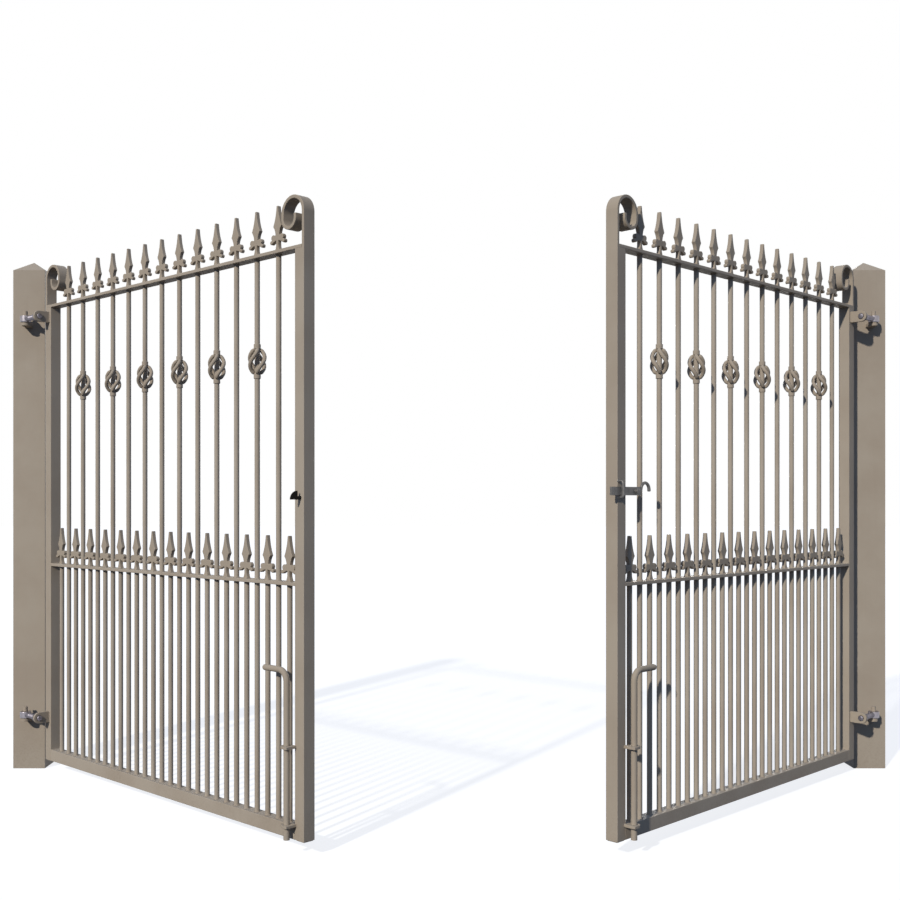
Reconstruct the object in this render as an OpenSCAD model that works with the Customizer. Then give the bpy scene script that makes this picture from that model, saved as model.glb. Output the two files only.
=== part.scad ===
// Pair of metal driveway gates with their two posts, leaves standing part open.
// Origin: centre of the left post's bottom face. +X across the gateway,
// +Y away from the side that the leaves open to, +Z up. Millimetres.

/* [Gateway] */
// Clear width between the two posts
gateway_w = 3048; // [2400:1:4200]
// Side of the square posts
post_w = 120; // [90:1:160]
// Height of the pyramid caps
cap_h = 40; // [15:1:80]
// Angle that the leaves stand open by
open_angle = 45; // [0:1:90]

/* [Leaf frame] */
// Gap between a post and its leaf
post_gap = 18; // [12:1:40]
// Gap between the two leaves when closed
meeting_gap = 12; // [8:1:25]
// Height of the leaf's underside
leaf_bottom = 50; // [30:1:90]
// Side of the box section in stiles and bottom rails
box_w = 40; // [30:1:50]
// Thickness of the flat rails and scroll strips
flat_t = 10; // [6:0.5:14]
// Height of the mid rail's upper face
mid_rail_top = 778; // [680:1:900]
// Height of the top rail's upper face
top_rail_top = 1733; // [1600:1:1780]

/* [Bars] */
// Diameter of the round bars
bar_d = 16; // [10:0.5:20]
// Main bars in one leaf
main_count = 13; // [9:2:15]
// Distance of the first dog bar from its stile
dog_end = 47; // [40:1:60]
// Clearance around a bar in its punched hole
hole_clear = 0.2; // [0.1:0.05:0.5]

/* [Baskets] */
// Distance of the basket centres below the top rail
basket_drop = 301; // [150:1:420]
// Overall height of a basket with its collars
basket_h = 102; // [80:1:150]
// Diameter of the cage at its widest
cage_d = 63; // [50:1:78]
// Diameter of a basket wire
wire_d = 11; // [8:0.5:13.5]
// Height of each collar
collar_h = 14; // [8:1:18]
// Turn of the wires from collar to collar
wire_twist = 115; // [0:5:160]

/* [Finials] */
// Height of a finial
finial_h = 131; // [90:1:150]
// Thickness of a finial
finial_t = 13; // [8:0.5:16]
// Width of the spear at its widest
spear_w = 35; // [24:1:44]
// Width across the lower curls
curl_w = 66; // [50:1:72]
// Width of the finial's foot
foot_w = 21; // [16:1:28]

/* [Scrolls] */
// Height of the scroll tops above the top rail
scroll_rise = 145; // [115:1:200]
// Outer radius of the upper bend
scroll_r = 51; // [40:1:56]
// Outer radius of the lower curl
curl_r = 33; // [26:1:36]
// Straight length between the two bends
scroll_drop = 12; // [8:1:30]
// Straight length at the curl's end
scroll_end = 9; // [4:1:20]

/* [Hinges] */
// Distance of the hinge pins in front of the posts
pin_set = 40; // [32:1:60]
// Diameter of the hinge pins
pin_d = 16; // [12:0.5:20]
// Height of a pin above its eye
pin_over = 18; // [10:1:40]
// Outside diameter of the hinge eyes
eye_d = 40; // [32:1:46]
// Height of the hinge eyes
eye_h = 24; // [20:1:32]
// Diameter of the eye bolt shanks
shank_d = 20; // [14:0.5:22]
// Thickness of the hinge lugs
lug_t = 10; // [6:0.5:14]
// Height of the hinge lugs
lug_h = 40; // [34:1:48]
// Thickness of the post brackets
bracket_t = 13; // [8:1:18]
// Width of the post brackets
bracket_w = 30; // [24:1:40]
// Distance of the upper hinge below the top rail
upper_hinge_drop = 36; // [28:1:200]
// Height of the lower hinge
lower_hinge_z = 211; // [140:1:400]
// Running clearance of the hinge eyes
hinge_clear = 0.3; // [0.1:0.05:0.5]

/* [Drop bolts] */
// Diameter of the drop bolts
rod_d = 18; // [12:0.5:20]
// Height of the bolts' tips when raised
rod_tip = 52; // [40:1:70]
// Height of the handle's axis when raised
handle_z = 530; // [450:1:640]
// Length of the handle from the bolt's axis
handle_l = 106; // [70:1:140]
// Bend radius of the handle
bend_r = 32; // [22:1:45]
// Thickness of the guide plates
guide_t = 8; // [5:0.5:12]
// Height of the lower guide
lower_guide_z = 92; // [85:1:140]
// Height of the upper guide
upper_guide_z = 314; // [250:1:380]
// Clearance around a bolt in its guides
rod_clear = 0.5; // [0.3:0.05:1]

/* [Latch] */
// Height of the latch's axis
latch_z = 1037; // [950:1:1150]
// Height of the latch bar
latch_h = 24; // [18:1:28]
// Thickness of the latch bar
latch_t = 7; // [5:0.5:10]
// Gap between the latch bar and the stile
latch_gap = 2.5; // [2:0.5:5]
// Length of the latch bar beyond the leaf's edge
latch_reach = 40; // [34:1:52]
// Distance of the latch's pivot from the stile's inner edge
pivot_set = 38; // [32:1:50]
// Diameter of the latch's pivot pin
pivot_d = 10; // [8:0.5:12]
// Diameter of the rod in the latch's tail and staple
latch_rod_d = 8; // [6:0.5:9]
// Radius of the latch's curved tail
tail_r = 20; // [16:1:26]
// Room above the latch bar in the staple
staple_room = 13; // [9:0.5:16]
// Thickness of the keep
keep_t = 5; // [3:0.5:10]
// Height of the keep
keep_h = 25; // [18:1:28]
// Height of the keep's hook above the latch bar's lower edge
keep_hook = 13; // [8:0.5:15]

/* [Hidden] */
$fn = 48;
paint = [0.61, 0.56, 0.50];
zinc = [0.62, 0.65, 0.69];
black = [0.05, 0.05, 0.05];

// Places along the leaf (u), through it (v) and up, from the hinge pin's axis
post_span = gateway_w + post_w;
leaf_w = (gateway_w - 2 * post_gap - meeting_gap) / 2;
hinge_edge = post_w / 2 + post_gap;
free_edge = hinge_edge + leaf_w;
inner_hinge_edge = hinge_edge + box_w;
inner_free_edge = free_edge - box_w;
front = pin_set;
middle = front + box_w / 2;
bottom_rail_top = leaf_bottom + box_w;
mid_rail_under = mid_rail_top - flat_t;
top_rail_under = top_rail_top - flat_t;

scroll_top = top_rail_top + scroll_rise;
post_h = scroll_top;

bar_pitch = (inner_free_edge - inner_hinge_edge - 2 * dog_end) / main_count;
first_bar = inner_hinge_edge + dog_end + bar_pitch / 2;
main_places = [for (k = [0 : main_count - 1]) first_bar + k * bar_pitch];
dog_places = [for (k = [0 : main_count]) first_bar + (k - 0.5) * bar_pitch];
basket_places = [for (k = [1 : 2 : main_count - 1]) main_places[k]];
basket_low = top_rail_under - basket_drop - basket_h / 2;
basket_high = basket_low + basket_h;
wire_inside = bar_d / 2 + 0.6;
wire_in_r = bar_d / 2 + 1.5;
wire_out_r = cage_d / 2 - wire_d / 2;
collar_d = bar_d + 5;
wire_phase = 10;
wire_sides = 8;
wire_steps = 12;

hinge_heights = [lower_hinge_z, top_rail_under - upper_hinge_drop];
lug_near = hinge_edge + box_w / 2;
lug_far = lug_near + lug_t;
nut_w = 1.5 * shank_d;
nut_h = 0.8 * shank_d;
bracket_top = -eye_h / 2 - 0.5;

guide_heights = [lower_guide_z, upper_guide_z];
rod_u = inner_free_edge - 12;
rod_v = front - rod_d / 2 - 11;
guide_r = rod_d / 2 + 8;
guide_weld = 8;

latch_back = front - latch_gap;
latch_front = latch_back - latch_t;
pivot_u = inner_free_edge - pivot_set;
latch_tail_end = pivot_u - latch_h - 2;
tail_d = 1.12 * latch_t;
tail_u = latch_tail_end - tail_r - 3;
tail_z = latch_z + 4;
latch_low = latch_z - latch_h / 2;
staple_u = free_edge - latch_rod_d / 2 - 1;
staple_low = latch_low - latch_rod_d / 2 - 0.5;
staple_high = latch_low + latch_h + staple_room + latch_rod_d / 2;
staple_v = latch_front - latch_gap - latch_rod_d / 2;
keep_u = free_edge - 12 - keep_t;
keep_notch = latch_t + 2 * latch_gap;
keep_top = latch_low + keep_hook;
keep_low = keep_top - keep_h;
keep_floor = latch_low - 2;

// Turns what is drawn for the left side into the right side's mirror image
module on_side(side) {
    if (side == "right") {
        translate([post_span, 0, 0]) mirror([1, 0, 0]) children();
    } else {
        children();
    }
}

// Hangs what is drawn in leaf coordinates on its pin, open by the rest angle
module on_leaf(side) {
    on_side(side)
        translate([0, -post_w / 2 - pin_set, 0]) rotate([0, 0, -open_angle]) children();
}

// Extrudes a profile drawn as (u, z) through the leaf, from v to v + depth
module through_leaf(v, depth) {
    translate([0, v + depth, 0]) rotate([90, 0, 0]) linear_extrude(depth) children();
}

// Round bar standing at one place in the leaf
module upright(u, low, high) {
    translate([u, middle, low]) cylinder(d = bar_d, h = high - low);
}

// Flat rail with a hole punched for each bar that passes it
module punched_rail(u_from, u_to, under) {
    difference() {
        translate([u_from, front, under]) cube([u_to - u_from, box_w, flat_t]);
        for (u = main_places) {
            translate([u, middle, under - 1]) cylinder(d = bar_d + 2 * hole_clear, h = flat_t + 2);
        }
    }
}

module post() {
    color(paint) translate([-post_w / 2, -post_w / 2, 0]) cube([post_w, post_w, post_h]);
}

// Pyramid cap, from two triangular prisms that cross
module post_cap() {
    color(paint) translate([0, 0, post_h]) intersection() {
        cap_prism(0);
        cap_prism(90);
    }
}

module cap_prism(turn) {
    rotate([0, 0, turn]) translate([0, post_w / 2, 0]) rotate([90, 0, 0]) linear_extrude(post_w)
        polygon([[-post_w / 2, 0], [post_w / 2, 0], [0, cap_h]]);
}

// Bracket on the post's face with an upright pin, at both hinges
module pintles() {
    color(paint) for (z = hinge_heights) {
        translate([0, -post_w / 2 - pin_set, z + bracket_top]) {
            translate([0, 0, -bracket_t]) linear_extrude(bracket_t) {
                circle(d = bracket_w);
                translate([-bracket_w / 2, 0]) square([bracket_w, pin_set]);
            }
            cylinder(d = pin_d, h = eye_h / 2 + pin_over - bracket_top);
        }
    }
}

module stile(u) {
    translate([u, front, leaf_bottom]) cube([box_w, box_w, top_rail_under - leaf_bottom]);
}

module hanging_stile() {
    color(paint) stile(hinge_edge);
}

module meeting_stile() {
    color(paint) stile(inner_free_edge);
}

module bottom_rail() {
    color(paint) translate([inner_hinge_edge, front, leaf_bottom])
        cube([inner_free_edge - inner_hinge_edge, box_w, box_w]);
}

module mid_rail() {
    color(paint) punched_rail(inner_hinge_edge, inner_free_edge, mid_rail_under);
}

module top_rail() {
    color(paint) punched_rail(hinge_edge + flat_t, free_edge - flat_t, top_rail_under);
}

module main_bars() {
    color(paint) for (u = main_places) upright(u, bottom_rail_top, top_rail_top);
}

module dog_bars() {
    color(paint) for (u = dog_places) upright(u, bottom_rail_top, mid_rail_under);
}

// Rings on the bar below and above each basket
module basket_collars() {
    color(paint) for (u = basket_places, z = [basket_low, basket_high - collar_h])
        translate([u, middle, z]) difference() {
            cylinder(d = collar_d, h = collar_h);
            translate([0, 0, -1]) cylinder(d = bar_d + 2 * hole_clear, h = collar_h + 2);
        }
}

// Distance of a basket wire's centre line from the bar's axis, t from 0 at the lower collar to 1
function wire_r(t) =
    wire_in_r + (wire_out_r - wire_in_r) * pow(max(0, sin(180 * t)), 0.8);

function wire_point(t, phase) =
    let (a = phase + wire_twist * (t - 0.5))
    [wire_r(t) * cos(a), wire_r(t) * sin(a), basket_low + collar_h + t * (basket_h - 2 * collar_h)];

// Ring of points around a wire, flattened against the bar where it meets a collar
function wire_ring(t, phase) =
    let (full = min(1, 2 * (wire_r(t) - wire_inside) / wire_d))
    let (deep = full * wire_d / 2)
    let (wide = (0.6 + 0.4 * full) * wire_d / 2)
    let (a = phase + wire_twist * (t - 0.5))
    let (along = (t <= 0 || t >= 1) ? [0, 0, 1] : wire_point(t + 0.01, phase) - wire_point(t - 0.01, phase))
    let (forward = along / norm(along))
    let (across = cross([-sin(a), cos(a), 0], forward))
    let (out = across / norm(across))
    let (side = cross(forward, out))
    [for (j = [0 : wire_sides - 1]) wire_point(t, phase)
        + deep * cos(360 * j / wire_sides) * out + wide * sin(360 * j / wire_sides) * side];

// One twisted wire, as rings joined by triangles
module basket_wire(phase) {
    n = wire_sides;
    last = wire_steps * n;
    points = [for (i = [0 : wire_steps]) each wire_ring(i / wire_steps, phase)];
    skin = [for (i = [0 : wire_steps - 1], j = [0 : n - 1])
        let (a = i * n + j, b = i * n + (j + 1) % n) each [[a, a + n, b + n], [a, b + n, b]]];
    foot = [for (j = [0 : n - 1]) j];
    head = [for (j = [0 : n - 1]) last + n - 1 - j];
    polyhedron(points, concat(skin, [foot, head]), convexity = 4);
}

module basket_wires() {
    color(paint) for (u = basket_places) translate([u, middle, 0]) {
        for (turn = [0 : 90 : 270]) basket_wire(wire_phase + turn);
    }
}

// Outline of one side of a finial: foot, neck, waist, spear and blunt tip
module finial_half() {
    polygon([[0, 0], [foot_w / 2, 0], [0.24 * foot_w, 0.11 * finial_h], [0.24 * foot_w, 0.25 * finial_h],
        [0.23 * spear_w, 0.36 * finial_h], [spear_w / 2, 0.55 * finial_h], [2.5, finial_h], [0, finial_h]]);
    // Round upper lobe
    translate([0.29 * curl_w, 0.305 * finial_h]) circle(d = 0.134 * finial_h);
    translate([0, 0.26 * finial_h]) square([0.29 * curl_w, 0.09 * finial_h]);
    // Lower arm with a curled end
    translate([curl_w / 2 - 0.04 * finial_h, 0.208 * finial_h]) circle(d = 0.086 * finial_h);
    polygon([[0, 0.3 * finial_h], [0.29 * curl_w, 0.27 * finial_h],
        [curl_w / 2 - 0.03 * finial_h, 0.245 * finial_h], [curl_w / 2 - 0.05 * finial_h, 0.17 * finial_h],
        [0.24 * curl_w, 0.21 * finial_h], [0.1 * curl_w, 0.235 * finial_h], [0, 0.22 * finial_h]]);
}

module finial(u, foot_z) {
    translate([u, 0, foot_z]) through_leaf(middle - finial_t / 2, finial_t) {
        finial_half();
        mirror([1, 0]) finial_half();
    }
}

module top_finials() {
    color(paint) for (u = main_places) finial(u, top_rail_top);
}

module dog_finials() {
    color(paint) for (u = dog_places) finial(u, mid_rail_top);
}

// Half of a ring, drawn on the +Y side
module half_ring(r) {
    difference() {
        circle(r);
        circle(r - flat_t);
        translate([-2 * r, -4 * r]) square(4 * r);
    }
}

// Strip that rises from a stile and curls inwards, outer face on u = 0
module scroll_outline() {
    bend_z = scroll_top - scroll_r;
    curl_u = 2 * scroll_r - curl_r;
    curl_z = bend_z - scroll_drop;
    translate([0, top_rail_under]) square([flat_t, bend_z - top_rail_under]);
    translate([scroll_r, bend_z]) half_ring(scroll_r);
    translate([2 * scroll_r - flat_t, curl_z]) square([flat_t, scroll_drop]);
    translate([curl_u, curl_z]) mirror([0, 1]) half_ring(curl_r);
    translate([curl_u - curl_r, curl_z]) square([flat_t, scroll_end]);
}

module scrolls() {
    color(paint) {
        translate([hinge_edge, 0, 0]) through_leaf(front, box_w) scroll_outline();
        translate([free_edge, 0, 0]) through_leaf(front, box_w) mirror([1, 0]) scroll_outline();
    }
}

// Plates on the hanging stile that hold the eye bolts
module hinge_lugs() {
    color(paint) for (z = hinge_heights) translate([lug_near, 0, z]) rotate([90, 0, 90]) {
        linear_extrude(lug_t) difference() {
            union() {
                circle(d = lug_h);
                translate([0, -lug_h / 2]) square([front, lug_h]);
            }
            circle(d = shank_d + 2 * hole_clear);
        }
    }
}

module eye_bolts() {
    color(zinc) for (z = hinge_heights) translate([0, 0, z]) difference() {
        union() {
            translate([0, 0, -eye_h / 2]) cylinder(d = eye_d, h = eye_h);
            rotate([0, 90, 0]) cylinder(d = shank_d, h = lug_far + 2);
            translate([lug_far + 2, 0, 0]) sphere(d = shank_d);
        }
        translate([0, 0, -eye_h]) cylinder(d = pin_d + 2 * hinge_clear, h = 2 * eye_h);
    }
}

module lock_nuts() {
    color(zinc) for (z = hinge_heights) translate([lug_near - nut_h, 0, z]) rotate([0, 90, 0])
        difference() {
            cylinder(d = nut_w / cos(30), h = nut_h, $fn = 6);
            translate([0, 0, -1]) cylinder(d = shank_d + 2 * hole_clear, h = nut_h + 2);
        }
}

// Plates on the meeting stile that guide the drop bolt
module bolt_guides() {
    color(paint) for (z = guide_heights) translate([0, 0, z - guide_t / 2]) linear_extrude(guide_t)
        difference() {
            union() {
                translate([rod_u, rod_v]) circle(guide_r);
                translate([rod_u, rod_v - guide_r])
                    square([inner_free_edge + guide_weld - rod_u, front - rod_v + guide_r]);
            }
            translate([rod_u, rod_v]) circle(d = rod_d + 2 * rod_clear);
        }
}

// Round bolt bent over at the top into a handle
module drop_bolt() {
    color(paint) translate([rod_u, rod_v, 0]) {
        translate([0, 0, rod_tip]) cylinder(d = rod_d, h = handle_z - bend_r - rod_tip);
        translate([-bend_r, 0, handle_z - bend_r]) rotate([90, 0, 0])
            rotate_extrude(angle = 90) translate([bend_r, 0]) circle(d = rod_d);
        translate([-handle_l + rod_d / 2, 0, handle_z]) rotate([0, 90, 0])
            cylinder(d = rod_d, h = handle_l - rod_d / 2 - bend_r);
        translate([-handle_l + rod_d / 2, 0, handle_z]) sphere(d = rod_d);
    }
}

// Hooked plate that catches the latch bar
module latch_keep() {
    color(black) translate([keep_u, 0, 0]) rotate([90, 0, 90]) linear_extrude(keep_t) {
        translate([front - keep_notch, keep_low]) intersection() {
            circle(keep_h);
            translate([-keep_h, 0]) square(keep_h);
        }
        translate([front - keep_notch, keep_low]) square([keep_notch, keep_floor - keep_low]);
    }
}

// Bent rod that holds the latch bar against the stile
module latch_staple() {
    r = latch_rod_d;
    color(zinc) translate([staple_u, 0, 0]) {
        for (z = [staple_low, staple_high]) translate([0, staple_v + r, z]) rotate([-90, 0, 0])
            cylinder(d = latch_rod_d, h = front - staple_v - r);
        translate([0, staple_v, staple_low + r])
            cylinder(d = latch_rod_d, h = staple_high - staple_low - 2 * r);
        translate([0, staple_v + r, staple_high - r]) rotate([90, 0, 90]) rotate([0, 0, 90])
            rotate_extrude(angle = 90) translate([r, 0]) circle(d = latch_rod_d);
        translate([0, staple_v + r, staple_low + r]) rotate([90, 0, 90]) rotate([0, 0, 180])
            rotate_extrude(angle = 90) translate([r, 0]) circle(d = latch_rod_d);
    }
}

// Lug on the stile's inner side with the pin that the latch turns on
module latch_pivot() {
    lug_w = inner_free_edge - pivot_u + latch_h / 2;
    color(zinc) {
        translate([inner_free_edge - lug_w, front, latch_low]) cube([lug_w, latch_t, latch_h]);
        translate([pivot_u, latch_front - latch_gap, latch_z]) rotate([-90, 0, 0])
            cylinder(d = pivot_d, h = front - latch_front + latch_gap + 1);
        translate([pivot_u, latch_front - latch_gap - 4, latch_z]) rotate([-90, 0, 0])
            cylinder(d = 1.4 * pivot_d, h = 4 + latch_gap - 1);
    }
}

// Flat bar with a pivot hole and a curved tail to press
module latch_bar() {
    tail_v = (latch_front + latch_back) / 2;
    color(zinc) difference() {
        union() {
            translate([latch_tail_end, latch_front, latch_low])
                cube([free_edge + latch_reach - latch_tail_end, latch_t, latch_h]);
            translate([tail_u, tail_v, tail_z]) rotate([90, 0, 0])
                rotate_extrude(angle = 180) translate([tail_r, 0]) circle(d = tail_d);
            for (u = [tail_u - tail_r, tail_u + tail_r]) translate([u, tail_v, tail_z]) sphere(d = tail_d);
            translate([tail_u + tail_r, tail_v, tail_z]) rotate([0, 90, 0]) cylinder(d = tail_d, h = 12);
        }
        translate([pivot_u, latch_front - 1, latch_z]) rotate([-90, 0, 0])
            cylinder(d = pivot_d + 2 * hinge_clear, h = latch_t + 2);
    }
}

on_side("left") post();  // left_post
on_side("right") post();  // right_post
on_side("left") post_cap();  // left_post_cap
on_side("right") post_cap();  // right_post_cap
on_side("left") pintles();  // left_pintles
on_side("right") pintles();  // right_pintles
on_leaf("left") hanging_stile();  // left_hanging_stile
on_leaf("right") hanging_stile();  // right_hanging_stile
on_leaf("left") meeting_stile();  // left_meeting_stile
on_leaf("right") meeting_stile();  // right_meeting_stile
on_leaf("left") bottom_rail();  // left_bottom_rail
on_leaf("right") bottom_rail();  // right_bottom_rail
on_leaf("left") mid_rail();  // left_mid_rail
on_leaf("right") mid_rail();  // right_mid_rail
on_leaf("left") top_rail();  // left_top_rail
on_leaf("right") top_rail();  // right_top_rail
on_leaf("left") main_bars();  // left_main_bars
on_leaf("right") main_bars();  // right_main_bars
on_leaf("left") dog_bars();  // left_dog_bars
on_leaf("right") dog_bars();  // right_dog_bars
on_leaf("left") basket_collars();  // left_basket_collars
on_leaf("right") basket_collars();  // right_basket_collars
on_leaf("left") basket_wires();  // left_basket_wires
on_leaf("right") basket_wires();  // right_basket_wires
on_leaf("left") top_finials();  // left_top_finials
on_leaf("right") top_finials();  // right_top_finials
on_leaf("left") dog_finials();  // left_dog_finials
on_leaf("right") dog_finials();  // right_dog_finials
on_leaf("left") scrolls();  // left_scrolls
on_leaf("right") scrolls();  // right_scrolls
on_leaf("left") hinge_lugs();  // left_hinge_lugs
on_leaf("right") hinge_lugs();  // right_hinge_lugs
on_leaf("left") eye_bolts();  // left_eye_bolts
on_leaf("right") eye_bolts();  // right_eye_bolts
on_leaf("left") lock_nuts();  // left_lock_nuts
on_leaf("right") lock_nuts();  // right_lock_nuts
on_leaf("left") bolt_guides();  // left_bolt_guides
on_leaf("right") bolt_guides();  // right_bolt_guides
on_leaf("left") drop_bolt();  // left_drop_bolt
on_leaf("right") drop_bolt();  // right_drop_bolt
on_leaf("left") latch_keep();
on_leaf("right") latch_staple();
on_leaf("right") latch_pivot();
on_leaf("right") latch_bar();
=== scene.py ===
"""Looks of a pair of metal driveway gates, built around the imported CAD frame.

Lengths are millimetres, as in the part's source, unless a comment says otherwise. Leaf coordinates are u
along the leaf from its hinge pin, v through it from front to back, and z up. Post coordinates start at the
middle of the post's foot. Everything is drawn for the left side, and the right side mirrors it.
"""

import math

import bpy
from mathutils import Matrix, Vector
from mathutils.geometry import delaunay_2d_cdt


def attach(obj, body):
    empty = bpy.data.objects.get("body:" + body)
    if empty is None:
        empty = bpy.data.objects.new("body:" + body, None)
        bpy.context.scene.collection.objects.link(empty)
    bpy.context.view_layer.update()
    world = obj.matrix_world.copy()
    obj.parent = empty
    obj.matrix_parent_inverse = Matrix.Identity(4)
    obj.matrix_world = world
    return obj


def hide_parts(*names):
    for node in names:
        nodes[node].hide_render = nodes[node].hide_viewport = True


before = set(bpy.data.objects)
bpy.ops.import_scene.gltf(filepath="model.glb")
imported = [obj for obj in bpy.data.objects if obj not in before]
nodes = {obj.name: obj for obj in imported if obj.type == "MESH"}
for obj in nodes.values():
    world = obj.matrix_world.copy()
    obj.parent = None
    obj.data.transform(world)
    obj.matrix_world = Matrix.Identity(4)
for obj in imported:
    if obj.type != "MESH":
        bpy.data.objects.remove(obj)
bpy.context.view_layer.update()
scene = bpy.context.scene

# Sizes repeated from the part's source
SPAN = 3168.0
POST_W = 120.0
POST_H = 1878.0
PIN_SET = 40.0
OPEN_ANGLE = 45.0
HINGE_EDGE = 78.0
FREE_EDGE = 1578.0
BOX = 40.0
FLAT = 10.0
FRONT = 40.0
MIDDLE = 60.0
BACK = 80.0
LEAF_BOTTOM = 50.0
RAIL_TOP = 90.0
MID_TOP = 778.0
TOP_TOP = 1733.0
SCROLL_R = 51.0
SCROLL_BEND = POST_H - SCROLL_R
SCROLL_DROP = 12.0
SCROLL_END = 9.0
CURL_R = 33.0
BAR_R = 8.0
PITCH = 102.0
MAIN_PLACES = [216.0 + PITCH * k for k in range(13)]
DOG_PLACES = [165.0 + PITCH * k for k in range(14)]
BASKET_PLACES = MAIN_PLACES[1::2]
BASKET_LOW = 1371.0
BASKET_H = 102.0
COLLAR_H = 14.0
FINIAL_T = 13.0
HINGES = [211.0, 1687.0]
EYE_R = 20.0
EYE_H = 24.0
PIN_HOLE_R = 8.3
SHANK_R = 10.0
LUG_NEAR = 98.0
LUG_T = 10.0
LUG_H = 40.0
NUT_W = 30.0
NUT_H = 16.0
BRACKET_W = 30.0
BRACKET_T = 13.0
BRACKET_TOP = -12.5
GUIDES = [92.0, 314.0]
GUIDE_T = 8.0
GUIDE_WELD = 8.0
LATCH_Z = 1037.0
LATCH_V = 34.0
LATCH_T = 7.0
PIVOT_U = 1500.0
TAIL_U = 1451.0
TAIL_Z = 1041.0
TAIL_R = 20.0
STAPLE_U = 1573.0
LATCH_ROD_R = 4.0
STAPLE_ENDS = (1020.5, 1066.0)
KEEP_U = (1561.0, 1566.0)
KEEP_Z = (1013.0, 1023.0)

INNER_HINGE = HINGE_EDGE + BOX
INNER_FREE = FREE_EDGE - BOX
MID_UNDER = MID_TOP - FLAT
TOP_UNDER = TOP_TOP - FLAT

# Edge roundings
POST_EDGE = 0.8
POST_FOOT_EDGE = 0.6
BOX_EDGE = 1.3
BOX_FOOT_EDGE = 1.2
FLAT_EDGE = 1.2
STRIP_EDGE = 1.6
FINIAL_EDGE = 2.0
EYE_EDGE = 3.0
BORE_EDGE = 1.0

# Basket wires: the axis of a wire swells out between the collars, and the wire thickens with it
WIRE_ROOT = 7.0
WIRE_SWELL = 19.0
WIRE_TWIST = 106.0
WIRE_PHASE = 10.0
WIRE_R = 6.0
WIRE_ROOT_R = 3.2
WIRE_END_R = 3.1
WIRE_SEAT = 4.0
WIRES = 4

# Hinge bolts, foot plates and weld beads, whose axes rise a little off the faces that they join
THREAD_START = 34.0
THREAD_PITCH = 2.5
THREAD_DEPTH = 1.2
WASHER_T = 2.6
PLATE_INSET = 3.0
BAR_BEAD_R = 1.7
BEAD_RISE = 0.3
RING_RISE = 0.4

# Facets
CORNER_STEPS = 3
EASE_STEPS = 4
RING_STEPS = 24

MM = 0.001
POST_TO_ROW = Matrix.Scale(MM, 4)
LEAF_TO_ROW = (POST_TO_ROW @ Matrix.Translation((0, -(POST_W / 2 + PIN_SET), 0))
               @ Matrix.Rotation(math.radians(-OPEN_ANGLE), 4, "Z"))
# Plates drawn in (u, z) stand in the leaf: their thickness runs along v
STAND = Matrix(((1, 0, 0, 0), (0, 0, -1, 0), (0, 1, 0, 0), (0, 0, 0, 1)))
# What is turned round z lies along u
ALONG_U = Matrix(((0, 0, 1, 0), (1, 0, 0, 0), (0, 1, 0, 0), (0, 0, 0, 1)))


# Outlines in a plane, counter-clockwise


def arc(cu, cz, r, start, end, steps):
    """Points on a circle from one angle to another, in degrees."""
    out = []
    for k in range(steps + 1):
        a = math.radians(start + (end - start) * k / steps)
        out.append((cu + r * math.cos(a), cz + r * math.sin(a)))
    return out


def rounded_box(low_u, high_u, low_v, high_v, r):
    """Rectangle with rounded corners."""
    corners = ((high_u - r, low_v + r, -90), (high_u - r, high_v - r, 0),
               (low_u + r, high_v - r, 90), (low_u + r, low_v + r, 180))
    out = []
    for cu, cv, start in corners:
        out.extend(arc(cu, cv, r, start, start + 90, CORNER_STEPS))
    return out


def inset(outline, amount):
    """Moves each corner of an outline inwards."""
    out = []
    n = len(outline)
    for i in range(n):
        p = Vector(outline[i])
        before = (p - Vector(outline[i - 1])).normalized()
        after = (Vector(outline[(i + 1) % n]) - p).normalized()
        left_before = Vector((-before.y, before.x))
        left_after = Vector((-after.y, after.x))
        both = left_before + left_after
        if both.length < 1e-6:
            both = left_before
        both.normalize()
        stretch = min(1.6, 1 / max(0.3, both.dot(left_before)))
        out.append(p + both * amount * stretch)
    return out


def eased(corners, shrink):
    """Outline from (u, z, reach), moved inwards: a corner is eased over its reach, or kept at 0."""
    out = []
    n = len(corners)
    moved = inset([c[:2] for c in corners], shrink)
    for i in range(n):
        p = moved[i]
        reach = corners[i][2]
        if not reach:
            out.append(p)
            continue
        before = moved[i - 1] - p
        after = moved[(i + 1) % n] - p
        turn = math.atan2(after.cross(before), -after.dot(before))
        reach = max(0.05, reach - shrink * math.tan(turn / 2))
        start = p + before.normalized() * min(reach, 0.45 * before.length)
        end = p + after.normalized() * min(reach, 0.45 * after.length)
        for k in range(EASE_STEPS + 1):
            t = k / EASE_STEPS
            out.append((1 - t) ** 2 * start + 2 * t * (1 - t) * p + t * t * end)
    return out


# Mesh builders: each returns (points, faces), apart from lathe, which returns rings


def skin(rings, close=False, caps=True):
    """Joins rings of equal size by quads, with a flat face at each end unless it closes on itself."""
    n = len(rings[0])
    points = [Vector(p) for ring in rings for p in ring]
    faces = []
    count = len(rings) if close else len(rings) - 1
    for i in range(count):
        a = i * n
        b = ((i + 1) % len(rings)) * n
        for j in range(n):
            k = (j + 1) % n
            faces.append((a + j, a + k, b + k, b + j))
    if caps and not close:
        last = (len(rings) - 1) * n
        faces.append(tuple(reversed(range(n))))
        faces.append(tuple(last + j for j in range(n)))
    return points, faces


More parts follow.
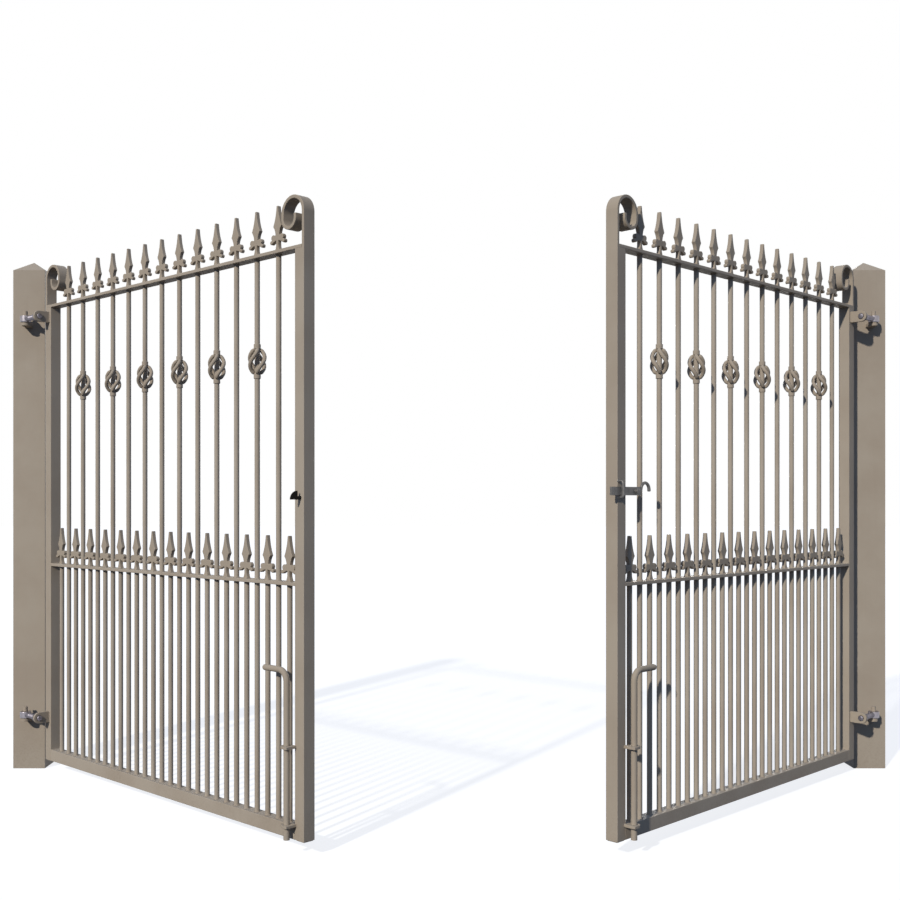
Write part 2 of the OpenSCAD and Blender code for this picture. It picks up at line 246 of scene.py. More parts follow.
def prism(corners, low, high, edge, steps):
    """Plate with rounded rims, from (u, z, reach) corners."""
    lower = []
    upper = []
    for k in range(steps + 1):
        turn = math.pi / 2 * k / steps
        ring = eased(corners, edge * (1 - math.sin(turn)))
        rise = edge * (1 - math.cos(turn))
        lower.append([(p.x, p.y, low + rise) for p in ring])
        upper.insert(0, [(p.x, p.y, high - rise) for p in ring])
    rings = lower + upper
    points, faces = skin(rings, caps=False)
    n = len(rings[0])
    flat = [Vector(p[:2]) for p in rings[0]]
    last = len(points) - n
    for a, b, c in delaunay_2d_cdt(flat, [], [list(range(n))], 1, 1e-5)[2]:
        if (flat[b] - flat[a]).cross(flat[c] - flat[a]) < 0:
            b, c = c, b
        faces.append((c, b, a))
        faces.append((last + a, last + b, last + c))
    return points, faces


def lathe(profile, sides):
    """Turns (radius, height) pairs round the z axis."""
    rings = []
    for r, z in profile:
        ring = []
        for j in range(sides):
            a = 2 * math.pi * j / sides
            ring.append((r * math.cos(a), r * math.sin(a), z))
        rings.append(ring)
    return rings


def sweep(path, radii, sides, close=False):
    """Round tube along a path, with a frame carried along it so that it doesn't twist."""
    path = [Vector(p) for p in path]
    n = len(path)
    ahead = []
    for i in range(n):
        if close:
            ahead.append((path[(i + 1) % n] - path[i - 1]).normalized())
        else:
            ahead.append((path[min(i + 1, n - 1)] - path[max(i - 1, 0)]).normalized())
    side = ahead[0].orthogonal().normalized()
    rings = []
    for i in range(n):
        side = (side - ahead[i] * side.dot(ahead[i])).normalized()
        up = ahead[i].cross(side)
        ring = []
        for j in range(sides):
            a = 2 * math.pi * j / sides
            ring.append(path[i] + radii[i] * (math.cos(a) * side + math.sin(a) * up))
        rings.append(ring)
    return skin(rings, close)


def strip(path, outline, end_edge):
    """Bar of a (normal, v) outline along a path in (u, z), eased at its far end."""
    path = [Vector(p) for p in path]
    n = len(path)
    stations = []
    for i in range(n):
        ahead = (path[min(i + 1, n - 1)] - path[max(i - 1, 0)]).normalized()
        stations.append((path[i], ahead, outline))
    for turn in (math.pi / 4, math.pi / 2):
        at = path[-1] + ahead * end_edge * math.sin(turn)
        stations.append((at, ahead, inset(outline, end_edge * (1 - math.cos(turn)))))
    rings = []
    for at, ahead, section in stations:
        normal = Vector((-ahead.y, ahead.x))
        ring = []
        for out, v in section:
            point = at + normal * out
            ring.append((point.x, v, point.y))
        rings.append(ring)
    return skin(rings)


def bead(path, r, close=False, seed=0):
    """Weld bead along a path: overlapping ripples of even pitch with a slight wander."""
    path = [Vector(p) for p in path]
    total = 0.0
    lengths = [0.0]
    for a, b in zip(path, path[1:]):
        total += (b - a).length
        lengths.append(total)
    if close:
        total += (path[0] - path[-1]).length
    ripples = max(3, round(total / (1.1 * r)))
    steps = 3
    count = ripples * steps
    made = []
    radii = []
    k = 0
    for i in range(count + (0 if close else 1)):
        s = total * i / count
        while k + 1 < len(path) - 1 and lengths[k + 1] <= s:
            k += 1
        if s > lengths[-1]:
            span = (path[0] - path[-1]).length
            made.append(path[-1].lerp(path[0], (s - lengths[-1]) / span))
        else:
            made.append(path[k].lerp(path[k + 1], (s - lengths[k]) / (lengths[k + 1] - lengths[k])))
        ripple = 0.045 * math.cos(2 * math.pi * i / steps)
        wander = 0.05 * math.sin(0.9 * i / steps + seed) + 0.03 * math.sin(2.3 * i / steps + 2.1 * seed)
        radii.append(r * (0.92 + ripple + wander))
    if not close:
        radii[0] = r * 0.4
        radii[-1] = r * 0.4
    return sweep(made, radii, 8, close)


def ring_bead(u, v, z, radius, r, seed):
    """Bead round an upright bar."""
    path = []
    for k in range(RING_STEPS):
        a = 2 * math.pi * (k + 0.37 * seed) / RING_STEPS
        path.append((u + radius * math.cos(a), v + radius * math.sin(a), z))
    return bead(path, r, True, seed)


def placed(part, matrix):
    points, faces = part
    return [matrix @ p for p in points], faces


def shift(u=0.0, v=0.0, z=0.0):
    return Matrix.Translation((u, v, z))


# Materials


def srgb(red, green, blue):
    """Linear colour for an 8-bit display colour."""
    out = []
    for value in (red, green, blue):
        c = value / 255
        out.append(c / 12.92 if c <= 0.04045 else ((c + 0.055) / 1.055) ** 2.4)
    return (*out, 1.0)


def new_material(name):
    material = bpy.data.materials.new(name)
    material.use_nodes = True
    tree = material.node_tree
    return material, tree, tree.nodes["Principled BSDF"]


def add(tree, kind, inputs=None, **settings):
    """A node with its settings, and its inputs set to values or linked to sockets."""
    made = tree.nodes.new(kind)
    for key, value in settings.items():
        setattr(made, key, value)
    for key, value in (inputs or {}).items():
        if isinstance(value, bpy.types.NodeSocket):
            tree.links.new(value, made.inputs[key])
        else:
            made.inputs[key].default_value = value
    return made


def noise(tree, where, scale, detail, roughness=0.5):
    made = add(tree, "ShaderNodeTexNoise",
               {"Vector": where, "Scale": scale, "Detail": detail, "Roughness": roughness})
    return made.outputs[0]


def remap(tree, value, low, high, to_low, to_high):
    made = add(tree, "ShaderNodeMapRange", {0: value, 1: low, 2: high, 3: to_low, 4: to_high})
    return made.outputs[0]


def math_node(tree, operation, a, b):
    return add(tree, "ShaderNodeMath", {0: a, 1: b}, operation=operation).outputs[0]


def times(tree, a, b):
    return math_node(tree, "MULTIPLY", a, b)


def blend(tree, share, first, second):
    made = add(tree, "ShaderNodeMix", {0: share, 6: first, 7: second}, data_type="RGBA")
    return made.outputs[2]


def bump(tree, shader, strength, distance, height):
    """Fine relief; the distance is in metres."""
    made = add(tree, "ShaderNodeBump", {"Strength": strength, "Distance": distance, "Height": height})
    tree.links.new(made.outputs[0], shader.inputs["Normal"])


def paint_material():
    """Satin powder coat with a fine peel, rain streaks, a little dust and splashes near the ground."""
    coat = srgb(155, 142, 126)
    pale_coat = srgb(158, 146, 129)
    streaked = srgb(140, 128, 112)
    dust = srgb(178, 168, 152)
    mud = srgb(118, 104, 86)
    rubbed = srgb(182, 172, 158)
    splash_height = 0.22

    material, tree, shader = new_material("paint")
    where = add(tree, "ShaderNodeTexCoord").outputs["Object"]
    streak_space = add(tree, "ShaderNodeMapping", {"Vector": where, "Scale": (70, 70, 2.2)}).outputs[0]
    geometry = add(tree, "ShaderNodeNewGeometry")
    height = add(tree, "ShaderNodeSeparateXYZ", {0: where}).outputs[2]
    up = add(tree, "ShaderNodeSeparateXYZ", {0: geometry.outputs["Normal"]}).outputs[2]

    mottle = noise(tree, where, 4.0, 5.0, 0.55)
    streaks = noise(tree, streak_space, 1.0, 3.0, 0.55)
    grains = noise(tree, where, 160.0, 3.0, 0.6)
    colour = blend(tree, remap(tree, mottle, 0.3, 0.7, 0, 1), coat, pale_coat)
    colour = blend(tree, remap(tree, streaks, 0.55, 0.8, 0, 0.14), colour, streaked)
    dusty = times(tree, remap(tree, up, 0.5, 1.0, 0, 0.3), remap(tree, grains, 0.35, 0.65, 0.3, 1))
    colour = blend(tree, dusty, colour, dust)
    low_down = remap(tree, height, 0.0, splash_height, 1, 0)
    splash = times(tree, low_down, remap(tree, grains, 0.45, 0.7, 0, 0.3))
    colour = blend(tree, splash, colour, mud)
    worn = times(tree, remap(tree, geometry.outputs["Pointiness"], 0.53, 0.62, 0, 0.35),
                 remap(tree, mottle, 0.4, 0.6, 0.2, 1))
    colour = blend(tree, worn, colour, rubbed)
    tree.links.new(colour, shader.inputs["Base Color"])
    tree.links.new(remap(tree, mottle, 0.3, 0.7, 0.42, 0.52), shader.inputs["Roughness"])
    shader.inputs["Specular IOR Level"].default_value = 0.02
    bump(tree, shader, 0.12, 0.0006, noise(tree, where, 520.0, 2.0))
    return material


def zinc_material(name, bright, dull, rough_low, rough_high, metallic):
    """Plated steel: faint spangle, dulled patches and fine scratches."""
    material, tree, shader = new_material(name)
    where = add(tree, "ShaderNodeTexCoord").outputs["Object"]
    spangle = add(tree, "ShaderNodeTexVoronoi", {"Vector": where, "Scale": 260.0}).outputs["Distance"]
    patches = noise(tree, where, 55.0, 4.0, 0.6)
    scratch_space = add(tree, "ShaderNodeMapping", {"Vector": where, "Scale": (900, 900, 60)}).outputs[0]
    scratches = noise(tree, scratch_space, 1.0, 2.0)
    colour = blend(tree, remap(tree, patches, 0.35, 0.7, 0, 1), bright, dull)
    colour = blend(tree, remap(tree, spangle, 0.0, 0.8, 0, 0.25), colour, dull)
    tree.links.new(colour, shader.inputs["Base Color"])
    tree.links.new(remap(tree, patches, 0.3, 0.7, rough_low, rough_high), shader.inputs["Roughness"])
    shader.inputs["Metallic"].default_value = metallic
    bump(tree, shader, 0.1, 0.0003, scratches)
    return material


def black_material():
    """Black lacquer with a fine peel and rubbed edges."""
    lacquer = srgb(5, 4, 4)
    pale_lacquer = srgb(10, 9, 9)
    rubbed = srgb(46, 44, 42)

    material, tree, shader = new_material("keep_black")
    where = add(tree, "ShaderNodeTexCoord").outputs["Object"]
    geometry = add(tree, "ShaderNodeNewGeometry")
    patches = noise(tree, where, 90.0, 4.0, 0.6)
    worn = times(tree, remap(tree, geometry.outputs["Pointiness"], 0.54, 0.66, 0, 0.5),
                 remap(tree, patches, 0.4, 0.6, 0, 1))
    colour = blend(tree, remap(tree, patches, 0.3, 0.7, 0, 1), lacquer, pale_lacquer)
    colour = blend(tree, worn, colour, rubbed)
    tree.links.new(colour, shader.inputs["Base Color"])
    tree.links.new(remap(tree, patches, 0.3, 0.7, 0.42, 0.6), shader.inputs["Roughness"])
    shader.inputs["Specular IOR Level"].default_value = 0.12
    bump(tree, shader, 0.12, 0.0004, noise(tree, where, 600.0, 2.0))
    return material


# Camera, light and floor


def make_camera():
    """Camera at the photograph's place, level and square to the gateway; its place is in metres."""
    data = bpy.data.cameras.new("Camera")
    data.sensor_width = 36.0
    data.lens = 46.74
    data.shift_x = 0.0376
    data.shift_y = 0.0554
    data.clip_end = 200
    camera = bpy.data.objects.new("Camera", data)
    scene.collection.objects.link(camera)
    camera.location = (1.4592, -4.465, 1.0122)
    camera.rotation_euler = (math.radians(90), 0, 0)
    scene.camera = camera


def seen_directly(tree):
    """1 for rays from the camera or from a reflection or refraction, 0 for bounced light."""
    path = add(tree, "ShaderNodeLightPath").outputs
    mirror = math_node(tree, "MAXIMUM", path["Is Glossy Ray"], path["Is Transmission Ray"])
    return math_node(tree, "MAXIMUM", path["Is Camera Ray"], mirror)


def lamp(name, energy, angle, colour, direction):
    """Distant lamp; its angle in degrees sets how soft its shadows are."""
    data = bpy.data.lights.new(name, "SUN")
    data.energy = energy
    data.angle = math.radians(angle)
    data.color = colour
    made = bpy.data.objects.new(name, data)
    scene.collection.objects.link(made)
    made.rotation_euler = Vector(direction).to_track_quat("-Z", "Y").to_euler()


def make_light():
    """White surroundings, a low key lamp from the front left and a level fill for the back."""
    world = bpy.data.worlds.new("World")
    scene.world = world
    world.use_nodes = True
    tree = world.node_tree
    soft = tree.nodes["Background"]
    soft.inputs["Color"].default_value = (0.41, 0.6, 1.0, 1)
    soft.inputs["Strength"].default_value = 0.475
    white = add(tree, "ShaderNodeBackground", {"Color": (1, 1, 1, 1), "Strength": 1.0})
    both = add(tree, "ShaderNodeMixShader",
               {0: seen_directly(tree), 1: soft.outputs[0], 2: white.outputs[0]})
    tree.links.new(both.outputs[0], tree.nodes["World Output"].inputs["Surface"])
    lamp("Key", energy=3.2, angle=2, colour=(1.0, 0.962, 0.9), direction=(0.437, 0.757, -0.485))
    lamp("Fill", energy=1.8, angle=30, colour=(1.0, 0.95, 0.88), direction=(-0.35, -0.93, -0.05))


def make_floor():
    """Pale floor that reads white where nothing shades it, and throws little light back up."""
    half = 40.0
    corners = [(-half, -half, 0), (half, -half, 0), (half, half, 0), (-half, half, 0)]
    mesh = bpy.data.meshes.new("floor")
    mesh.from_pydata(corners, [], [(0, 1, 2, 3)])
    material, tree, shader = new_material("floor")
    tree.nodes.remove(shader)
    bounce = add(tree, "ShaderNodeBsdfDiffuse", {"Color": (0.09, 0.09, 0.09, 1)})
    lit = add(tree, "ShaderNodeBsdfDiffuse", {"Color": (0.33, 0.33, 0.33, 1)})
    glow = add(tree, "ShaderNodeEmission", {"Color": (1, 1, 1, 1), "Strength": 0.78})
    pale = add(tree, "ShaderNodeAddShader", {0: lit.outputs[0], 1: glow.outputs[0]})
    both = add(tree, "ShaderNodeMixShader",
               {0: seen_directly(tree), 1: bounce.outputs[0], 2: pale.outputs[0]})
    tree.links.new(both.outputs[0], tree.nodes["Material Output"].inputs["Surface"])
    mesh.materials.append(material)
    floor = bpy.data.objects.new("floor", mesh)
    scene.collection.objects.link(floor)


# Posts and leaf frames


def post():
    """Square post with slightly rounded corners."""
    half = POST_W / 2
    outline = rounded_box(-half, half, -half, half, POST_EDGE)
    foot = [(p.x, p.y, 0.0) for p in inset(outline, POST_FOOT_EDGE)]
    return skin([foot, [(x, y, POST_FOOT_EDGE) for x, y in outline], [(x, y, POST_H) for x, y in outline]])


def stile(u):
    """Box section with rounded corners; its foot is eased and its head is ground flush with the scroll."""
    outline = rounded_box(u, u + BOX, FRONT, BACK, BOX_EDGE)
    rings = []
    for turn in (0, math.pi / 4, math.pi / 2):
        ring = inset(outline, BOX_FOOT_EDGE * (1 - math.sin(turn)))
        rise = BOX_FOOT_EDGE * (1 - math.cos(turn))
        rings.append([(p.x, p.y, LEAF_BOTTOM + rise) for p in ring])
    rings.append([(at_u, at_v, TOP_UNDER) for at_u, at_v in outline])
    return skin(rings)


def end_plate(u):
    """Thin plate that closes a stile's foot."""
    near_u = u + PLATE_INSET
    far_u = u + BOX - PLATE_INSET
    near_v = FRONT + PLATE_INSET
    far_v = BACK - PLATE_INSET
    ease = 2.0
    corners = [(near_u, near_v, ease), (far_u, near_v, ease), (far_u, far_v, ease), (near_u, far_v, ease)]
    return prism(corners, LEAF_BOTTOM - 2.0, LEAF_BOTTOM + 1.0, 0.6, 2)


def rail(u_from, u_to, low, high, edge):
    """Rail with rounded long edges and square ends."""
    outline = rounded_box(FRONT, BACK, low, high, edge)
    return skin([[(u, v, z) for v, z in outline] for u in (u_from, u_to)])


def scroll_path(edge, inward):
    """Centre line of the strip over a stile, from its foot to its curled end."""
    half = FLAT / 2
    curl_z = SCROLL_BEND - SCROLL_DROP
    out = [(half, TOP_UNDER), (half, SCROLL_BEND)]
    out += arc(SCROLL_R, SCROLL_BEND, SCROLL_R - half, 180, 0, 40)[1:]
    out += arc(2 * SCROLL_R - CURL_R, curl_z, CURL_R - half, 0, -180, 30)
    out += [(2 * SCROLL_R - 2 * CURL_R + half, curl_z + SCROLL_END)]
    return [(edge + inward * u, z) for u, z in out]


def scroll(edge, inward):
    outline = rounded_box(-FLAT / 2, FLAT / 2, FRONT, BACK, STRIP_EDGE)
    points, faces = strip(scroll_path(edge, inward), outline, STRIP_EDGE)
    return points, [tuple(reversed(f)) for f in faces]


# Finials and baskets


def finial_outline():
    """Spear with two round lobes and two curled arms over a flared foot."""
    right = [(10.5, 0, 1.0), (5.0, 14.4, 5), (5.0, 30.6, 2.5), (15.8, 27.4, 6)]
    right += [(x, z, 0) for x, z in arc(27.76, 27.25, 5.63, -105, 68, 10)]
    right += [(25.2, 33.6, 0.8)]
    right += [(x, z, 0) for x, z in arc(19.14, 39.96, 8.78, -42, 124, 12)]
    right += [(8.1, 46.9, 1.2), (9.4, 55.0, 3.0), (12.8, 64.0, 3.0), (18.6, 72.0, 1.0), (12.4, 86.0, 6.0)]
    right += [(7.6, 102.0, 6.0), (4.6, 118.0, 6.0), (2.9, 131.0, 0.8)]
    left = [(-x, z, reach) for x, z, reach in reversed(right)]
    return right + left


def finial(u, foot):
    plate = prism(finial_outline(), -FINIAL_T / 2, FINIAL_T / 2, FINIAL_EDGE, 4)
    return placed(plate, shift(u, MIDDLE, foot) @ STAND)


def wire(phase):
    """One wire of a basket, drawn round the bar's axis, with both its ends sunk in the collars."""
    low = BASKET_LOW + COLLAR_H
    tall = BASKET_H - 2 * COLLAR_H
    path = []
    radii = []
    steps = 44
    for k in range(steps + 1):
        t = k / steps
        swell = max(0.0, math.sin(math.pi * t)) ** 0.8
        r = WIRE_ROOT + WIRE_SWELL * swell
        a = math.radians(phase + WIRE_TWIST * (t - 0.5))
        path.append((r * math.cos(a), r * math.sin(a), low + t * tall))
        radii.append(WIRE_ROOT_R + (WIRE_R - WIRE_ROOT_R) * min(1.0, swell / 0.3))
    first = (path[0][0], path[0][1], path[0][2] - WIRE_SEAT)
    last = (path[-1][0], path[-1][1], path[-1][2] + WIRE_SEAT)
    return sweep([first] + path + [last], [WIRE_END_R] + radii + [WIRE_END_R], 14)


def basket(u):
    return [placed(wire(WIRE_PHASE + 360 / WIRES * k), shift(u, MIDDLE)) for k in range(WIRES)]


# Hinges and latch


def eye(z):
    """Forged eye of a hinge bolt, bored for the pin."""
    h = EYE_H / 2
    flat_r = EYE_R - EYE_EDGE
    mouth_r = PIN_HOLE_R + BORE_EDGE
    profile = [(mouth_r, -h), (flat_r, -h)]
    for a in (0.4, 0.8, 1.2, math.pi / 2):
        profile.append((flat_r + EYE_EDGE * math.sin(a), -h + EYE_EDGE - EYE_EDGE * math.cos(a)))
    for a in (0.0, 0.4, 0.8, 1.2):
        profile.append((flat_r + EYE_EDGE * math.cos(a), h - EYE_EDGE + EYE_EDGE * math.sin(a)))
    profile += [(flat_r, h), (mouth_r, h), (PIN_HOLE_R, h - BORE_EDGE), (PIN_HOLE_R, -h + BORE_EDGE)]
    return placed(skin(lathe(profile, 48), close=True), shift(0, 0, z))


def shank(z):
    """Bolt's shank: plain neck, rolled thread and a chamfered, slightly crowned end beyond the lug."""
    sides = 32
    steps = 5
    end = LUG_NEAR + LUG_T + 2
    stations = [(14.0, SHANK_R + 1.6, 0), (18.0, SHANK_R + 1.4, 0), (22.0, SHANK_R + 0.4, 0)]
    stations += [(26.0, SHANK_R, 0)]
    count = int((end - THREAD_START) / THREAD_PITCH * steps)
    for k in range(count + 1):
        fade = min(1.0, k / (2 * steps), (count - k) / (2 * steps))
        stations.append((THREAD_START + k * THREAD_PITCH / steps, SHANK_R, THREAD_DEPTH * fade))
    for past, r in ((0.8, 9.9), (1.6, 9.5), (2.8, 8.4), (3.3, 7.6), (3.7, 5.6), (3.95, 3.0), (4.0, 0.6)):
        stations.append((end + past, r, 0))
    rings = []
    for u, r, depth in stations:
        ring = []
        for j in range(sides):
            turn = (u / THREAD_PITCH - j / sides) % 1.0
            at = r - depth * abs(2 * turn - 1)
            a = 2 * math.pi * j / sides
            ring.append((u, at * math.cos(a), at * math.sin(a) + z))
        rings.append(ring)
    return skin(rings)


def nut(z):
    """Hexagon nut with chamfered faces, over a plain washer."""
    sides = 48
    flat = NUT_W / 2
    low = LUG_NEAR - NUT_H
    high = LUG_NEAR - WASHER_T
    rings = []
    for u, limit in ((low, 0.94), (low + 0.05, 0.97), (low + 2.2, 1.2),
                     (high - 2.2, 1.2), (high - 0.05, 0.97), (high, 0.94)):
        ring = []
        for j in range(sides):
            a = 2 * math.pi * j / sides
            to_flat = (a + math.pi / 6) % (math.pi / 3) - math.pi / 6
            r = min(flat * limit, flat / math.cos(to_flat))
            ring.append((u, r * math.cos(a), r * math.sin(a) + z))
        rings.append(ring)
    washer = [(6.0, 0.0), (17.6, 0.0), (18.2, 0.5), (18.2, WASHER_T - 0.5), (17.6, WASHER_T),
              (6.0, WASHER_T)]
    plate = placed(skin(lathe(washer, 40)), shift(high, 0, z) @ ALONG_U)
    return [skin(rings), plate]


def latch_tail():
    """Drawn-out tail of the latch: it swells out of the bar and is thickest at its blunt end."""
    path = []
    radii = []
    for reach, r in ((20, 2.4), (17, 3.6), (14, 4.3), (11, 4.7), (8, 4.9), (5, 4.8), (2.5, 4.5)):
        path.append((TAIL_U + TAIL_R + reach, LATCH_V, TAIL_Z - 1.6 + 0.02 * reach))
        radii.append(r)
    steps = 30
    path += [(u, LATCH_V, z) for u, z in arc(TAIL_U, TAIL_Z, TAIL_R, 4, 180, steps)]
    radii += [4.2 + 0.75 * k / steps for k in range(steps + 1)]
    for drop, r in ((2.4, 4.95), (3.6, 4.6), (4.4, 3.8), (4.8, 2.6), (4.95, 0.8)):
        path.append((TAIL_U - TAIL_R, LATCH_V, TAIL_Z - drop))
        radii.append(r)
    return sweep(path, radii, 20)


def latch_rivet():
    """Button head with its washer, and the other end hammered over behind the lug."""
    head = [(9.2, 0.0), (9.4, 0.25), (9.2, 0.7), (7.6, 0.75), (7.5, 1.2), (7.5, 6.4), (7.1, 7.3), (5.9, 8.2),
            (3.7, 8.8), (0.6, 9.1)]
    tail = [(6.4, 0.0), (6.2, 1.0), (5.0, 2.0), (2.6, 2.7), (0.5, 2.9)]
    forward = Matrix.Rotation(math.radians(90), 4, "X")
    backward = Matrix.Rotation(math.radians(-90), 4, "X")
    head_gap = 0.3
    tail_sink = 0.1
    head_v = LATCH_V - LATCH_T / 2 - head_gap
    tail_v = FRONT + LATCH_T - tail_sink
    return [placed(skin(lathe(head, 40)), shift(PIVOT_U, head_v, LATCH_Z) @ forward),
            placed(skin(lathe(tail, 32)), shift(PIVOT_U, tail_v, LATCH_Z) @ backward)]


# Weld beads


def line_bead(start, end, r, seed):
    return bead([start, end], r, seed=seed)


def bar_welds():
    """Beads round the bars where they meet the rails."""
    low_ends = (RAIL_TOP + RING_RISE, MID_UNDER - RING_RISE)
    high_ends = (MID_TOP + RING_RISE, TOP_UNDER - RING_RISE)
    radius = BAR_R + BEAD_RISE
    out = []
    for k, u in enumerate(MAIN_PLACES):
        for z in low_ends + high_ends:
            out.append(ring_bead(u, MIDDLE, z, radius, BAR_BEAD_R, k))
    for k, u in enumerate(DOG_PLACES):
        for z in low_ends:
            out.append(ring_bead(u, MIDDLE, z, radius, BAR_BEAD_R, k + 20))
    return out


def finial_welds():
    """Beads along both sides of each finial's foot."""
    half = 9.5
    out = []
    places = [(u, TOP_TOP) for u in MAIN_PLACES] + [(u, MID_TOP) for u in DOG_PLACES]
    for k, (u, foot) in enumerate(places):
        z = foot + RING_RISE
        for v in (MIDDLE - FINIAL_T / 2, MIDDLE + FINIAL_T / 2):
            out.append(line_bead((u - half, v, z), (u + half, v, z), 1.5, k))
    return out


def frame_welds():
    """Beads at the frame's joints, the lugs, the bolt guides and the scrolls."""
    near = FRONT + 3
    far = BACK - 3
    face = FRONT - BEAD_RISE
    out = []
    for u in (INNER_HINGE, INNER_FREE):
        z = RAIL_TOP + BEAD_RISE
        out.append(line_bead((u, near, z), (u, far, z), 2.2, 1))
        for v in (FRONT + 0.9, BACK - 0.9):
            out.append(line_bead((u, v, LEAF_BOTTOM + 2), (u, v, RAIL_TOP - 2), 1.5, 2))
            out.append(line_bead((u, v, MID_UNDER + 1), (u, v, MID_TOP - 1), 1.3, 3))
        for z in (MID_UNDER - BEAD_RISE, MID_TOP + BEAD_RISE, TOP_UNDER - BEAD_RISE):
            out.append(line_bead((u, near, z), (u, far, z), 1.8, 4))
    for u in (HINGE_EDGE + FLAT, FREE_EDGE - FLAT):
        z = TOP_TOP + BEAD_RISE
        out.append(line_bead((u, FRONT + 2, z), (u, BACK - 2, z), 1.8, 5))
    for z in HINGES:
        reach = LUG_H / 2 - 1
        for u in (LUG_NEAR, LUG_NEAR + LUG_T):
            out.append(line_bead((u, face, z - reach), (u, face, z + reach), 2.4, 6))
    guide_end = INNER_FREE + GUIDE_WELD
    for z in GUIDES:
        for at in (z - GUIDE_T / 2, z + GUIDE_T / 2):
            out.append(line_bead((INNER_FREE + 1, face, at), (guide_end - 1, face, at), 1.6, 7))
        u = guide_end + BEAD_RISE
        out.append(line_bead((u, face, z - 3), (u, face, z + 3), 1.6, 8))
    return out


def post_welds():
    """Beads round each pintle bracket where it meets the post."""
    out = []
    face = -POST_W / 2 - BEAD_RISE
    half = BRACKET_W / 2
    for z in HINGES:
        top = z + BRACKET_TOP
        low = top - BRACKET_T
        loop = [(-half, face, low), (half, face, low), (half, face, top), (-half, face, top)]
        out.append(bead(loop, 2.4, True, seed=9))
    return out


def staple_welds():
    """Bead round each foot of the staple."""
    face = FRONT - BEAD_RISE
    out = []
    for k, foot in enumerate(STAPLE_ENDS):
        loop = [(u, face, z) for u, z in arc(STAPLE_U, foot, LATCH_ROD_R + BEAD_RISE, 0, 345, 23)]
        out.append(bead(loop, 1.5, True, seed=k + 3))
    return out


def keep_welds():
    """Bead down both sides of the keep where it stands on the stile."""
    face = FRONT - BEAD_RISE
    low = KEEP_Z[0] + 1
    high = KEEP_Z[1] - 1
    return [line_bead((u, face, low), (u, face, high), 1.4, 4) for u in KEEP_U]


# Objects


def soften(name, material, edge):
    """Rounds a CAD node's sharp edges by modifiers, or keeps them sharp when edge is 0, and gives it its
    finish.
    """
    obj = nodes[name]
    obj.data.materials.clear()
    obj.data.materials.append(material)
    if "custom_normal" in obj.data.attributes:
        obj.data.attributes.remove(obj.data.attributes["custom_normal"])
    obj.data.polygons.foreach_set("use_smooth", [True] * len(obj.data.polygons))
    weld = obj.modifiers.new("weld", "WELD")
    weld.merge_threshold = 0.00002
    if edge:
        flat = obj.modifiers.new("flat", "DECIMATE")
        flat.decimate_type = "DISSOLVE"
        flat.angle_limit = math.radians(0.5)
        bevel = obj.modifiers.new("bevel", "BEVEL")
        bevel.width = edge * MM
        bevel.segments = 2
        bevel.limit_method = "ANGLE"
        bevel.angle_limit = math.radians(40)
        bevel.harden_normals = False
        bevel.use_clamp_overlap = True
    else:
        split = obj.modifiers.new("split", "EDGE_SPLIT")
        split.split_angle = math.radians(35)
    obj.modifiers.new("even", "WEIGHTED_NORMAL")


def make(name, parts, side, space, body, material, replaced=()):
    """One object from parts drawn for the left side, riding on a body."""
    points = []
    faces = []
    for part_points, part_faces in parts:
        base = len(points)
        points.extend(part_points)
        faces.extend(tuple(base + i for i in f) for f in part_faces)
    points = [space @ Vector(p) for p in points]
    if side == "right":
        points = [Vector((SPAN * MM - p.x, p.y, p.z)) for p in points]
        faces = [tuple(reversed(f)) for f in faces]
    mesh = bpy.data.meshes.new(name)
    mesh.from_pydata(points, [], faces)
    mesh.polygons.foreach_set("use_smooth", [True] * len(mesh.polygons))
    mesh.set_sharp_from_angle(angle=math.radians(38))
    mesh.materials.append(material)
    obj = bpy.data.objects.new(name, mesh)
    scene.collection.objects.link(obj)
    even = obj.modifiers.new("even", "WEIGHTED_NORMAL")
    even.keep_sharp = True
    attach(obj, body)
    if replaced:
        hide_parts(*replaced)


make_camera()
make_light()
make_floor()
paint = paint_material()
zinc = zinc_material("zinc", srgb(156, 151, 157), srgb(136, 132, 138), 0.33, 0.42, 1.0)
# Darker, rougher copy of the zinc for the bolt shanks and nuts: its darker colour is painted shade, and its
# higher roughness dulls its reflections
shaded_rough_zinc = zinc_material("shaded_rough_zinc", srgb(128, 124, 132), srgb(102, 100, 107), 0.42, 0.56, 1.0)
dark_zinc = zinc_material("dark_zinc", srgb(112, 110, 108), srgb(92, 90, 88), 0.42, 0.58, 0.55)
black = black_material()


def leaf_piece(side, name, parts, node=None, material=paint):
    """A piece of one leaf, which may stand for one of that leaf's CAD nodes."""
    replaced = [f"{side}_{node}"] if node else ()
    make(f"{side}_{name}", parts, side, LEAF_TO_ROW, f"{side}_leaf", material, replaced)


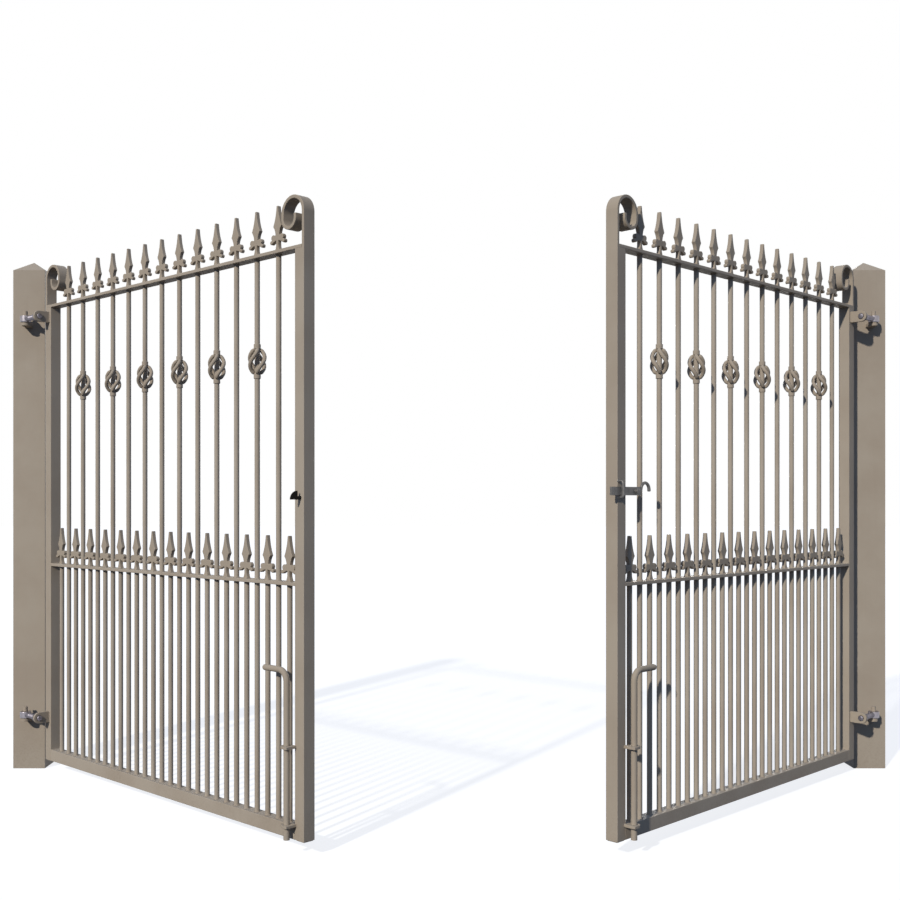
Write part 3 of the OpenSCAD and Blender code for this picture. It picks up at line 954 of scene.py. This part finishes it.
for side in ("left", "right"):
    make(f"{side}_post_skin", [post()], side, POST_TO_ROW, "gateway", paint, [f"{side}_post"])
    soften(f"{side}_post_cap", paint, 1.2)
    soften(f"{side}_pintles", paint, 1.0)
    leaf_piece(side, "hanging_stile_skin", [stile(HINGE_EDGE)], "hanging_stile")
    leaf_piece(side, "meeting_stile_skin", [stile(INNER_FREE)], "meeting_stile")
    bottom_rail = rail(INNER_HINGE, INNER_FREE, LEAF_BOTTOM, RAIL_TOP, BOX_EDGE)
    leaf_piece(side, "bottom_rail_skin", [bottom_rail], "bottom_rail")
    mid_rail = rail(INNER_HINGE, INNER_FREE, MID_UNDER, MID_TOP, FLAT_EDGE)
    leaf_piece(side, "mid_rail_skin", [mid_rail], "mid_rail")
    top_rail = rail(HINGE_EDGE + FLAT, FREE_EDGE - FLAT, TOP_UNDER, TOP_TOP, FLAT_EDGE)
    leaf_piece(side, "top_rail_skin", [top_rail], "top_rail")
    soften(f"{side}_main_bars", paint, 0)
    soften(f"{side}_dog_bars", paint, 0)
    soften(f"{side}_basket_collars", paint, 0.9)
    wires = [part for u in BASKET_PLACES for part in basket(u)]
    leaf_piece(side, "basket_cages", wires, "basket_wires")
    leaf_piece(side, "top_spears", [finial(u, TOP_TOP) for u in MAIN_PLACES], "top_finials")
    leaf_piece(side, "dog_spears", [finial(u, MID_TOP) for u in DOG_PLACES], "dog_finials")
    leaf_piece(side, "scroll_strips", [scroll(HINGE_EDGE, 1), scroll(FREE_EDGE, -1)], "scrolls")
    soften(f"{side}_hinge_lugs", paint, 1.0)
    leaf_piece(side, "hinge_eyes", [eye(z) for z in HINGES], "eye_bolts", zinc)
    # The shanks and nuts take the darker copy of the zinc, whose colour is painted shade
    leaf_piece(side, "hinge_shanks", [shank(z) for z in HINGES], None, shaded_rough_zinc)
    nuts = [part for z in HINGES for part in nut(z)]
    leaf_piece(side, "hinge_nuts", nuts, "lock_nuts", shaded_rough_zinc)
    soften(f"{side}_bolt_guides", paint, 0.8)
    soften(f"{side}_drop_bolt", paint, 0)
    leaf_piece(side, "foot_plates", [end_plate(HINGE_EDGE), end_plate(INNER_FREE)])
    leaf_piece(side, "bar_welds", bar_welds())
    leaf_piece(side, "finial_welds", finial_welds())
    leaf_piece(side, "frame_welds", frame_welds())
    make(f"{side}_post_welds", post_welds(), side, POST_TO_ROW, "gateway", paint)
soften("latch_keep", black, 0.6)
soften("latch_staple", dark_zinc, 0)
soften("latch_pivot", dark_zinc, 0.6)
soften("latch_bar", dark_zinc, 0.7)
make("latch_tail", [latch_tail()], "right", LEAF_TO_ROW, "latch", dark_zinc)
make("latch_rivet", latch_rivet(), "right", LEAF_TO_ROW, "right_leaf", dark_zinc)
make("staple_welds", staple_welds(), "right", LEAF_TO_ROW, "right_leaf", dark_zinc)
make("keep_welds", keep_welds(), "left", LEAF_TO_ROW, "left_leaf", black)

scene.view_settings.view_transform = "Standard"
